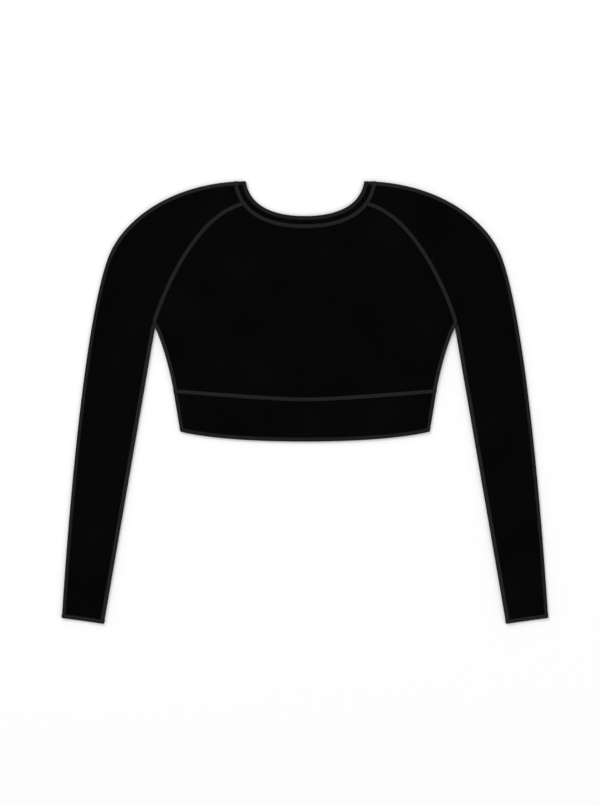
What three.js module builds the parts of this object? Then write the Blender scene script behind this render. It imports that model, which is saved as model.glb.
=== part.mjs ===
import * as THREE from "three";

// A long-sleeved crop top with raglan sleeves, laid flat with its front up. Sizes are in millimetres.
// X runs across it, Y up to the neck and Z off the surface that it lies on.
// The origin is on that surface, under the middle of its width and its length.

// Cloth
const WALL = 1.2; // single jersey
const BAND_WALL = 1.6; // jersey folded double, in the neckband and the hem band
const SEAM_GAP = 0.3; // between two pieces that are sewn together
const FOLD_RADIUS = 2; // outside of the turn where front and back meet at a fold or a side seam
const ROLL_WIDTH = 16; // soft roll inside such an edge, over which the front settles on the back
const SINK = 1.2; // how far single jersey settles
const BAND_SINK = 0.5; // how far a band settles

// Lengths along the edges and seams
const NECKBAND_WIDTH = 13.4; // at the shoulder
const SLEEVE_TOP = 32; // from the shoulder down the neckband to the raglan seam
const SIDE_SEAM = 88; // from the underarm point down to the hem band
const OVERARM_TO_PIT = 300; // from the neck down the overarm to the level of the underarm point

// Places on the half at the right: across from the centre, and up from the middle of the length
const PLACES = {
  shoulder: { across: 79, up: 295.3 },
  neckFront: { across: 0, up: 248.7 },
  bandFront: { across: 0, up: 234.9 },
  shoulderPoint: { across: 262, up: 194.7 },
  cuffOuter: { across: 324.4, up: -287.4 },
  cuffInner: { across: 268.1, up: -295.3 },
  raglanFoot: { across: 200.6, up: 108.5 },
  underarm: { across: 199.9, up: 99.7 },
  hemSeamFront: { across: 0, up: 4.2 },
  hemSide: { across: 166.5, up: -38.9 },
  hemFront: { across: 0, up: -52.2 },
};

// Points across one layer. An edge turns through a right angle, in steps, before the layer lies flat.
const RIGHT_ANGLE = Math.PI / 2;
const EDGE_TURNS = [0, RIGHT_ANGLE / 3, (RIGHT_ANGLE * 2) / 3, RIGHT_ANGLE];
const ROLL_STEPS = [
  { inset: 5, most: 0.12 },
  { inset: 10, most: 0.24 },
  { inset: 18, most: 0.36 },
];

// Spaces between the rows of points, and between those across the middle of a piece
const ROWS = { side: 6, raglan: 16, arm: 14, band: 2 };
const MIDDLE = { panel: 20, sleeve: 2 };
const EDGE_SAMPLE = 6; // longest straight line in a closed edge, where distances to it are measured

const JERSEY = { color: 0x060606, roughness: 0.85, metalness: 0 };
const FOLDED_JERSEY = { color: 0x0b0a0a, roughness: 0.8, metalness: 0 };

const range = (count) => Array.from({ length: count }, (_, step) => step);
const mirrored = ([across, up]) => [-across, up];
const mix = (a, b, share) => a.map((value, axis) => value + (b[axis] - value) * share);
const vector = ({ across, up }) => new THREE.Vector2(across, up);

// A smooth edge or seam between two places, which leaves and reaches them along two handles
function curve(from, leaving, reaching, to) {
  return new THREE.CubicBezierCurve(vector(from), vector(leaving), vector(reaching), vector(to));
}

// The point that lies this far along a curve, moved to the left of its direction by aside
function pointAlong(path, distance, aside = 0) {
  const share = THREE.MathUtils.clamp(distance / path.getLength(), 0, 1);
  const point = path.getPointAt(share);
  const direction = path.getTangentAt(share);
  return [point.x - direction.y * aside, point.y + direction.x * aside];
}

// Evenly spaced points along a curve from one distance to another, both ends included
function pointsAlong(path, start, end, spaces, aside = 0) {
  return range(spaces + 1).map((step) => pointAlong(path, start + ((end - start) * step) / spaces, aside));
}

// Edges and seams of the half at the right
const shoulderEdge = curve(
  PLACES.shoulder,
  { across: 178, up: 294 },
  { across: 243, up: 243.6 },
  PLACES.shoulderPoint,
);
const armEdge = curve(
  PLACES.shoulderPoint,
  { across: 294, up: 111 },
  { across: 316, up: -153 },
  PLACES.cuffOuter,
);
const overarm = new THREE.CurvePath();
overarm.add(shoulderEdge);
overarm.add(armEdge);
const underarmSeam = new THREE.LineCurve(vector(PLACES.underarm), vector(PLACES.cuffInner));
const sideEdge = curve(
  PLACES.underarm,
  { across: 176, up: 45 },
  { across: 170, up: -22 },
  PLACES.hemSide,
);
const neckEdge = curve(
  PLACES.shoulder,
  { across: 73, up: 255.3 },
  { across: 29, up: PLACES.neckFront.up },
  PLACES.neckFront,
);
const [bandAcross, bandUp] = pointAlong(overarm, NECKBAND_WIDTH);
const neckSeam = curve(
  { across: bandAcross, up: bandUp },
  { across: 91.5, up: 279 },
  { across: 81, up: PLACES.bandFront.up },
  PLACES.bandFront,
);
const [raglanAcross, raglanUp] = pointAlong(neckSeam, SLEEVE_TOP);
const armholeCurve = curve(
  { across: raglanAcross, up: raglanUp },
  { across: 156, up: 248 },
  { across: 199.3, up: 115 },
  PLACES.raglanFoot,
);
const raglanSeam = new THREE.CurvePath();
raglanSeam.add(armholeCurve);
raglanSeam.add(new THREE.LineCurve(vector(PLACES.raglanFoot), vector(PLACES.underarm)));
const [hemSeamAcross, hemSeamUp] = pointAlong(sideEdge, SIDE_SEAM);
const hemSeam = curve(
  { across: hemSeamAcross, up: hemSeamUp },
  { across: 115, up: 10.4 },
  { across: 34, up: PLACES.hemSeamFront.up },
  PLACES.hemSeamFront,
);
const hemEdge = curve(
  PLACES.hemSide,
  { across: 120, up: -50.2 },
  { across: 45, up: PLACES.hemFront.up },
  PLACES.hemFront,
);

// The closed edges, as short straight lines, along which front and back are joined
const closedEdges = [overarm, underarmSeam, sideEdge].map((path) =>
  pointsAlong(path, 0, path.getLength(), Math.ceil(path.getLength() / EDGE_SAMPLE)),
);

function distanceToLine([x, y], [startX, startY], [endX, endY]) {
  const run = [endX - startX, endY - startY];
  const along = ((x - startX) * run[0] + (y - startY) * run[1]) / (run[0] ** 2 + run[1] ** 2);
  const share = THREE.MathUtils.clamp(along, 0, 1);
  return Math.hypot(x - startX - run[0] * share, y - startY - run[1] * share);
}

function distanceToClosedEdge([across, up]) {
  const place = [Math.abs(across), up];
  const distances = closedEdges.flatMap((line) =>
    line.slice(1).map((end, index) => distanceToLine(place, line[index], end)),
  );
  return Math.min(...distances);
}

// Height of the front's outer face: highest just inside a closed edge, and settled past the roll
function settledHeight(place, sink) {
  const inside = distanceToClosedEdge(place) - FOLD_RADIUS;
  return 2 * FOLD_RADIUS - sink * THREE.MathUtils.smoothstep(inside, 0, ROLL_WIDTH);
}

// The stations of one layer from left to right: how far round the edge it has turned, and its inset
function stations(width, spaces, rolls) {
  const edge = [
    ...EDGE_TURNS.map((turn) => ({ turn, inset: FOLD_RADIUS * (1 - Math.cos(turn)) })),
    ...rolls.map(({ inset, most }) => ({ turn: RIGHT_ANGLE, inset: Math.min(inset, most * width) })),
  ];
  const reach = edge.at(-1).inset;
  const middle = range(spaces - 1).map((step) => ({
    turn: RIGHT_ANGLE,
    inset: reach + ((width - 2 * reach) * (step + 1)) / spaces,
  }));
  return [
    ...[...edge, ...middle].map((station) => ({ ...station, side: "left" })),
    ...edge.toReversed().map((station) => ({ ...station, side: "right" })),
  ];
}

// Heights of the outer and inner face where a layer turns to meet the other at half the fold's height
function turnedHeights(turn, wall, face, kind) {
  const direction = face === "front" ? 1 : -1;
  const parting = kind === "seam" && turn === 0 ? SEAM_GAP / 2 : 0;
  const outer = FOLD_RADIUS * Math.sin(turn) + parting;
  const inner = (FOLD_RADIUS - wall) * Math.sin(turn) + parting;
  return { outer: FOLD_RADIUS + direction * outer, inner: FOLD_RADIUS + direction * inner };
}

function flatHeights(place, wall, sink, face) {
  if (face === "back") {
    return { outer: 0, inner: wall };
  }
  const outer = settledHeight(place, sink);
  return { outer, inner: outer - wall };
}

// One layer of a row from left to right, as pairs of an outer and an inner point.
// An edge of the row is cut, joined to the other layer by a seam, or a fold.
function layer(row, face) {
  const rolls = face === "front" ? ROLL_STEPS : [];
  const { width } = row;
  return row.stations(width, row.spaces, rolls).map(({ turn, inset, side }) => {
    const kind = row[side];
    const turned = kind !== "cut" && turn < RIGHT_ANGLE;
    const innerInset = turned ? FOLD_RADIUS - (FOLD_RADIUS - row.wall) * Math.cos(turn) : inset;
    const placeAt = (away) => row.place(side === "left" ? away / width : 1 - away / width);
    const outerPlace = placeAt(inset);
    const heights = turned
      ? turnedHeights(turn, row.wall, face, kind)
      : flatHeights(outerPlace, row.wall, row.sink, face);
    return { outer: [...outerPlace, heights.outer], inner: [...placeAt(innerInset), heights.inner] };
  });
}

// How far an edge bows out from the straight line between its two corners
function bow(edge, leftCorner, rightCorner) {
  return (share) => {
    const straight = mix(leftCorner, rightCorner, share);
    return edge(share).map((value, axis) => value - straight[axis]);
  };
}

// Rows up a piece, each straight between its two side points but for the bow of the bottom and top edges
function rowsUp({ lefts, rights, bottomBow, topBow, rest }) {
  return lefts.map((left, index) => {
    const up = index / (lefts.length - 1);
    const right = rights[index];
    const place = (share) => {
      const bottom = bottomBow(share);
      const top = topBow(share);
      return mix(left, right, share).map((value, axis) => value + bottom[axis] * (1 - up) + top[axis] * up);
    };
    const width = Math.hypot(right[0] - left[0], right[1] - left[1]);
    return { place, width, stations, ...rest(index) };
  });
}

// A closed wall from rows of outer and inner points. A ring's rows join up, and a sheet's have two sides.
function solid(rows, ring) {
  const columns = rows[0].length;
  const points = rows.flatMap((row) => row.flatMap(({ outer, inner }) => [outer, inner]));
  const outerAt = (row, column) => 2 * (row * columns + (column % columns));
  const innerAt = (row, column) => outerAt(row, column) + 1;
  const triangles = [];
  const quad = (a, b, c, d) => triangles.push([a, b, c], [a, c, d]);
  const last = rows.length - 1;
  const spaces = ring ? columns : columns - 1;
  for (const column of range(spaces)) {
    const next = column + 1;
    for (const row of range(last)) {
      quad(outerAt(row, column), outerAt(row, next), outerAt(row + 1, next), outerAt(row + 1, column));
      quad(innerAt(row, column), innerAt(row + 1, column), innerAt(row + 1, next), innerAt(row, next));
    }
    quad(outerAt(0, column), innerAt(0, column), innerAt(0, next), outerAt(0, next));
    quad(outerAt(last, column), outerAt(last, next), innerAt(last, next), innerAt(last, column));
  }
  if (!ring) {
    const end = columns - 1;
    for (const row of range(last)) {
      quad(outerAt(row, 0), outerAt(row + 1, 0), innerAt(row + 1, 0), innerAt(row, 0));
      quad(outerAt(row, end), innerAt(row, end), innerAt(row + 1, end), outerAt(row + 1, end));
    }
  }
  return facingOut(points, triangles);
}

// The geometry of a closed surface, with every triangle turned round if it encloses a negative volume
function facingOut(points, triangles) {
  const corners = (triangle) => triangle.map((index) => new THREE.Vector3(...points[index]));
  const volume = triangles.reduce((sum, triangle) => {
    const [a, b, c] = corners(triangle);
    return sum + a.dot(b.cross(c)) / 6;
  }, 0);
  const faces = volume < 0 ? triangles.map((triangle) => triangle.toReversed()) : triangles;
  const geometry = new THREE.BufferGeometry();
  geometry.setAttribute("position", new THREE.Float32BufferAttribute(points.flat(), 3));
  geometry.setIndex(faces.flat());
  geometry.computeVertexNormals();
  return geometry;
}

function piece(name, geometry, cloth) {
  const mesh = new THREE.Mesh(geometry, new THREE.MeshStandardMaterial(cloth));
  mesh.name = name;
  return mesh;
}

// A curve of the right half and its mirror image, as one edge from left to right.
// The start is how far along the curve the edge begins.
function acrossBoth(path, start, aside) {
  const half = path.getLength() - start;
  return (share) => {
    const fromCentre = Math.abs(2 * share - 1);
    const point = pointAlong(path, start + half * (1 - fromCentre), aside);
    return share < 0.5 ? mirrored(point) : point;
  };
}

// Front or back: from the hem band up the side seams and the raglan seams to the neckband
function panelRows() {
  const rights = [
    ...pointsAlong(sideEdge, SIDE_SEAM, 0, ROWS.side, -SEAM_GAP / 2),
    ...pointsAlong(raglanSeam, raglanSeam.getLength(), 0, ROWS.raglan, -SEAM_GAP / 2).slice(1),
  ];
  const hemCorner = pointAlong(hemSeam, 0);
  const neckCorner = pointAlong(raglanSeam, 0);
  return rowsUp({
    lefts: rights.map(mirrored),
    rights,
    bottomBow: bow(acrossBoth(hemSeam, 0, -SEAM_GAP / 2), mirrored(hemCorner), hemCorner),
    topBow: bow(acrossBoth(neckSeam, SLEEVE_TOP, SEAM_GAP / 2), mirrored(neckCorner), neckCorner),
    rest: (index) => {
      const edge = index > ROWS.side ? "cut" : "seam";
      return { left: edge, right: edge, wall: WALL, sink: SINK, spaces: MIDDLE.panel };
    },
  });
}

function panel(name, face) {
  const rows = panelRows().map((row) => layer(row, face));
  return piece(name, solid(rows, false), JERSEY);
}

// A sleeve: from the cuff up to the neckband, folded over along the overarm and closed by the underarm seam
function sleeve(name, placed) {
  const lefts = [
    ...pointsAlong(underarmSeam, underarmSeam.getLength(), 0, ROWS.arm, SEAM_GAP / 2),
    ...pointsAlong(raglanSeam, raglanSeam.getLength(), 0, ROWS.raglan, SEAM_GAP / 2).slice(1),
  ];
  const rights = [
    ...pointsAlong(overarm, overarm.getLength(), OVERARM_TO_PIT, ROWS.arm),
    ...pointsAlong(overarm, OVERARM_TO_PIT, NECKBAND_WIDTH, ROWS.raglan).slice(1),
  ];
  const neckEdgeOfSleeve = (share) => pointAlong(neckSeam, SLEEVE_TOP * (1 - share), SEAM_GAP / 2);
  const rows = rowsUp({
    lefts,
    rights,
    bottomBow: () => [0, 0],
    topBow: bow(neckEdgeOfSleeve, pointAlong(neckSeam, SLEEVE_TOP), pointAlong(neckSeam, 0)),
    rest: (index) => ({
      left: index > ROWS.arm ? "cut" : "seam",
      right: "fold",
      wall: WALL,
      sink: SINK,
      spaces: MIDDLE.sleeve,
    }),
  });
  const sheet = rows.map((row) => {
    const under = layer(row, "back").slice(0, -1);
    return [...under, ...layer(row, "front").toReversed()].map(({ outer, inner }) => ({
      outer: placed(outer),
      inner: placed(inner),
    }));
  });
  return piece(name, solid(sheet, false), JERSEY);
}

// A band whose front and back are one loop, folded at both sides
function foldedBand(name, rows) {
  const loops = rows.map((row) => {
    const under = layer(row, "back").slice(1, -1);
    return [...layer(row, "front"), ...under.toReversed()];
  });
  return piece(name, solid(loops, true), FOLDED_JERSEY);
}

// The hem band: from its folded bottom edge up to the seam
function hemBand() {
  const rights = pointsAlong(sideEdge, sideEdge.getLength(), SIDE_SEAM, ROWS.band, -SEAM_GAP / 2);
  const bottomCorner = pointAlong(hemEdge, 0);
  const topCorner = pointAlong(hemSeam, 0);
  const rows = rowsUp({
    lefts: rights.map(mirrored),
    rights,
    bottomBow: bow(acrossBoth(hemEdge, 0, 0), mirrored(bottomCorner), bottomCorner),
    topBow: bow(acrossBoth(hemSeam, 0, SEAM_GAP / 2), mirrored(topCorner), topCorner),
    rest: () => ({ left: "fold", right: "fold", wall: BAND_WALL, sink: BAND_SINK, spaces: MIDDLE.panel }),
  });
  return foldedBand("hem_band", rows);
}

// Places along the neckband from fold to fold, where the sleeves' tops and the panel's top have theirs too
function neckbandStations(width, spaces, rolls) {
  const topChord = Math.hypot(bandAcross - raglanAcross, bandUp - raglanUp);
  const sleeveTop = stations(topChord, MIDDLE.sleeve, rolls).map(({ turn, inset, side }) => ({
    turn: side === "right" ? turn : RIGHT_ANGLE,
    inset: (SLEEVE_TOP * (side === "right" ? inset : topChord - inset)) / topChord,
  }));
  const scoopChord = 2 * raglanAcross;
  const scoopShare = (width - 2 * SLEEVE_TOP) / scoopChord;
  const scoop = stations(scoopChord, spaces, rolls).map(({ inset, side }) => ({
    turn: RIGHT_ANGLE,
    inset: SLEEVE_TOP + scoopShare * (side === "left" ? inset : scoopChord - inset),
  }));
  return [
    ...[...sleeveTop.toReversed(), ...scoop.slice(1, -1)].map((station) => ({ ...station, side: "left" })),
    ...sleeveTop.map((station) => ({ ...station, side: "right" })),
  ];
}

// The neckband: from its seam in to the neck opening, round the front and the back, folded at the shoulders
function neckband() {
  const seam = acrossBoth(neckSeam, 0, -SEAM_GAP / 2);
  const edge = acrossBoth(neckEdge, 0, 0);
  const rows = range(ROWS.band + 1).map((step) => ({
    place: (share) => mix(seam(share), edge(share), step / ROWS.band),
    width: 2 * neckSeam.getLength(),
    stations: neckbandStations,
    left: "fold",
    right: "fold",
    wall: BAND_WALL,
    sink: BAND_SINK,
    spaces: MIDDLE.panel,
  }));
  return foldedBand("neckband", rows);
}

const top = new THREE.Group();
top.add(panel("front", "front"), panel("back", "back"), neckband(), hemBand());
top.add(sleeve("sleeve_left", (point) => point));
top.add(sleeve("sleeve_right", ([x, y, z]) => [-x, y, z]));

export default top;
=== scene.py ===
import logging
import math
from dataclasses import dataclass, field
from enum import Enum
from functools import cached_property

import bpy
import numpy as np
from mathutils import Matrix, Vector


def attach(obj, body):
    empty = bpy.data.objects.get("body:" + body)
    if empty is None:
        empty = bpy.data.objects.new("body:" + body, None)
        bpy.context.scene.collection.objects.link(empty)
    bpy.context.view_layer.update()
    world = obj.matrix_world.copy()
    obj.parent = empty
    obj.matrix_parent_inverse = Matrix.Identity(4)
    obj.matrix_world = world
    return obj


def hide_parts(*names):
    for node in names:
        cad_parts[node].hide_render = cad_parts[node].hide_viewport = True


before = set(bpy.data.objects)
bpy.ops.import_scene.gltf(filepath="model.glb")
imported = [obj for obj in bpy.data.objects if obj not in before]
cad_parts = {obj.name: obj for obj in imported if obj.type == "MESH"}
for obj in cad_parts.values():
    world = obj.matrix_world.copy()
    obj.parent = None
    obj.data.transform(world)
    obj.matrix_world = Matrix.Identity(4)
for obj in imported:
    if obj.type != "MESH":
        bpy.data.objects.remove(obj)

# A long-sleeved jersey crop top, laid flat with its front up. Lengths are in metres.
# X runs across it, Y up to the neck, and Z off the surface that it lies on.

MM = 0.001
RIGHT_ANGLE = math.pi / 2
UP = np.array([0.0, 0.0, 1.0])

logging.basicConfig(level=logging.INFO, format="%(message)s")
log = logging.getLogger("crop_top")


class Layer(Enum):
    """The two layers of the garment as it lies."""

    FRONT = "front"
    BACK = "back"


class Side(Enum):
    """How one side of a row of cloth ends."""

    CUT = "sewn to the next piece in the same layer"
    SEAM = "sewn to the other layer"
    FOLD = "folded over into the other layer"


def smooth(value: np.ndarray, low: float, high: float) -> np.ndarray:
    """Return 0 below low, 1 above high and a smooth rise between them."""
    share = np.clip((value - low) / (high - low), 0.0, 1.0)
    return share * share * (3.0 - 2.0 * share)


def mirrored(points: np.ndarray) -> np.ndarray:
    """Return points moved to the other half of the garment."""
    return points * np.array([-1.0] + [1.0] * (points.shape[-1] - 1))


def wander(along: np.ndarray, wavelength: float, phase: float) -> np.ndarray:
    """Return an uneven wave from 0 to 1 along a line, made of three sines that never line up."""
    turn = 2.0 * math.pi * along / wavelength
    wave = np.sin(turn + phase) + 0.6 * np.sin(turn * 0.618 + 2.0 * phase) + 0.4 * np.sin(turn * 1.732)
    return 0.5 + 0.25 * wave


@dataclass(frozen=True)
class Line:
    """An edge or seam on the flat garment, kept as close points."""

    points: np.ndarray

    @staticmethod
    def cubic(start: tuple, leaving: tuple, reaching: tuple, end: tuple, count: int = 400) -> "Line":
        """Draw a cubic curve.

        Args:
            start: Where it starts.
            leaving: The handle that it leaves along.
            reaching: The handle that it arrives along.
            end: Where it ends.
            count: How many points it is kept as.

        Returns:
            The curve as a line.
        """
        t = np.linspace(0.0, 1.0, count)[:, None]
        corners = [np.array(corner) for corner in (start, leaving, reaching, end)]
        weights = [(1 - t) ** 3, 3 * (1 - t) ** 2 * t, 3 * (1 - t) * t**2, t**3]
        return Line(sum(weight * corner for weight, corner in zip(weights, corners)))

    @staticmethod
    def straight(start: tuple, end: tuple, count: int = 100) -> "Line":
        """Return a straight line."""
        t = np.linspace(0.0, 1.0, count)[:, None]
        return Line((1 - t) * np.array(start) + t * np.array(end))

    def then(self, other: "Line") -> "Line":
        """Return this line with another one after it."""
        return Line(np.concatenate([self.points, other.points[1:]]))

    @cached_property
    def distances(self) -> np.ndarray:
        """How far along the line each of its points lies."""
        steps = np.linalg.norm(np.diff(self.points, axis=0), axis=1)
        return np.concatenate([[0.0], np.cumsum(steps)])

    @property
    def length(self) -> float:
        """The line's whole length."""
        return float(self.distances[-1])

    def at(self, distance: np.ndarray, aside: float = 0.0) -> np.ndarray:
        """Find places along the line.

        Args:
            distance: How far along it each place is.
            aside: How far the places are moved to the left of the line's direction.

        Returns:
            The places, one row each.
        """
        normal = self.left_of(distance)
        place = np.stack([np.interp(distance, self.distances, self.points[:, k]) for k in (0, 1)], axis=-1)
        return place + aside * normal

    def left_of(self, distance: np.ndarray) -> np.ndarray:
        """Return the unit direction to the left of the line at these distances."""
        tangents = np.gradient(self.points, self.distances, axis=0)
        tangent = np.stack([np.interp(distance, self.distances, tangents[:, k]) for k in (0, 1)], axis=-1)
        tangent = tangent / np.linalg.norm(tangent, axis=-1, keepdims=True)
        return np.stack([-tangent[..., 1], tangent[..., 0]], axis=-1)

    def distance_to(self, places: np.ndarray, spacing: float = 0.003) -> tuple[np.ndarray, np.ndarray]:
        """Measure how far places are from the line.

        Args:
            places: The places, one row each.
            spacing: The length of the straight stretches that stand for the line.

        Returns:
            The distance to the line, and how far along it the nearest point is.
        """
        marks = np.linspace(0.0, self.length, max(2, int(self.length / spacing)))
        corners = self.at(marks)
        runs = np.diff(corners, axis=0)
        squares = (runs**2).sum(axis=1)
        nearest = np.full(len(places), np.inf)
        along = np.zeros(len(places))
        for corner, run, square, mark in zip(corners, runs, squares, marks):
            share = np.clip(((places - corner) @ run) / square, 0.0, 1.0)
            gap = np.linalg.norm(places - corner - share[:, None] * run, axis=1)
            closer = gap < nearest
            nearest = np.where(closer, gap, nearest)
            along = np.where(closer, mark + share * math.sqrt(square), along)
        return nearest, along


@dataclass(frozen=True)
class Outline:
    """The edges and seams of the right half of the garment."""

    neckband_width: float = 0.0134
    sleeve_top: float = 0.032
    side_seam: float = 0.088
    overarm_to_pit: float = 0.300
    shoulder: tuple = (0.079, 0.2953)
    shoulder_point: tuple = (0.262, 0.1947)
    cuff_outer: tuple = (0.3244, -0.2874)
    cuff_inner: tuple = (0.2681, -0.2953)
    raglan_foot: tuple = (0.2006, 0.1085)
    underarm: tuple = (0.1999, 0.0997)
    hem_side: tuple = (0.1665, -0.0389)
    neck_front: tuple = (0.0, 0.2487)
    band_front: tuple = (0.0, 0.2349)
    hem_seam_front: tuple = (0.0, 0.0042)
    hem_front: tuple = (0.0, -0.0522)

    @cached_property
    def shoulder_edge(self) -> Line:
        """The overarm from the neck to the point of the shoulder."""
        return Line.cubic(self.shoulder, (0.178, 0.294), (0.243, 0.2436), self.shoulder_point)

    @cached_property
    def overarm(self) -> Line:
        """The top edge from the neck to the cuff."""
        arm = Line.cubic(self.shoulder_point, (0.294, 0.111), (0.316, -0.153), self.cuff_outer)
        return self.shoulder_edge.then(arm)

    @cached_property
    def underarm_seam(self) -> Line:
        """The sleeve's seam from the underarm point to the cuff."""
        return Line.straight(self.underarm, self.cuff_inner)

    @cached_property
    def side_edge(self) -> Line:
        """The body's side from the underarm point to the hem."""
        return Line.cubic(self.underarm, (0.176, 0.045), (0.170, -0.022), self.hem_side)

    @cached_property
    def neck_edge(self) -> Line:
        """The neck opening from the shoulder to the centre front."""
        return Line.cubic(self.shoulder, (0.073, 0.2553), (0.029, self.neck_front[1]), self.neck_front)

    @cached_property
    def neck_seam(self) -> Line:
        """The neckband's seam from the shoulder to the centre front."""
        start = tuple(self.overarm.at(self.neckband_width))
        return Line.cubic(start, (0.0915, 0.279), (0.081, self.band_front[1]), self.band_front)

    @cached_property
    def raglan_seam(self) -> Line:
        """The sleeve's seam from the neckband to the underarm point."""
        start = tuple(self.neck_seam.at(self.sleeve_top))
        armhole = Line.cubic(start, (0.156, 0.248), (0.1993, 0.115), self.raglan_foot)
        return armhole.then(Line.straight(self.raglan_foot, self.underarm))

    @cached_property
    def hem_seam(self) -> Line:
        """The hem band's seam from the side to the centre front."""
        start = tuple(self.side_edge.at(self.side_seam))
        return Line.cubic(start, (0.115, 0.0104), (0.034, self.hem_seam_front[1]), self.hem_seam_front)

    @cached_property
    def hem_edge(self) -> Line:
        """The bottom fold of the hem band from the side to the centre front."""
        return Line.cubic(self.hem_side, (0.120, -0.0502), (0.045, self.hem_front[1]), self.hem_front)

    @cached_property
    def cuff_edge(self) -> Line:
        """The end of the sleeve from the underarm seam to the overarm."""
        return Line.straight(self.cuff_inner, self.cuff_outer)


@dataclass(frozen=True)
class Cloth:
    """Thicknesses and turns of the cloth."""

    wall: float = 0.0009
    band_wall: float = 0.0015
    seam_gap: float = 0.0002
    fold_radius: float = 0.002
    roll_width: float = 0.016
    sink: float = 0.0012
    band_sink: float = 0.0005
    lift: float = 0.0004


@dataclass(frozen=True)
class Ridge:
    """A soft crease between two places on the front."""

    start: tuple
    end: tuple
    height: float
    width: float


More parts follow.
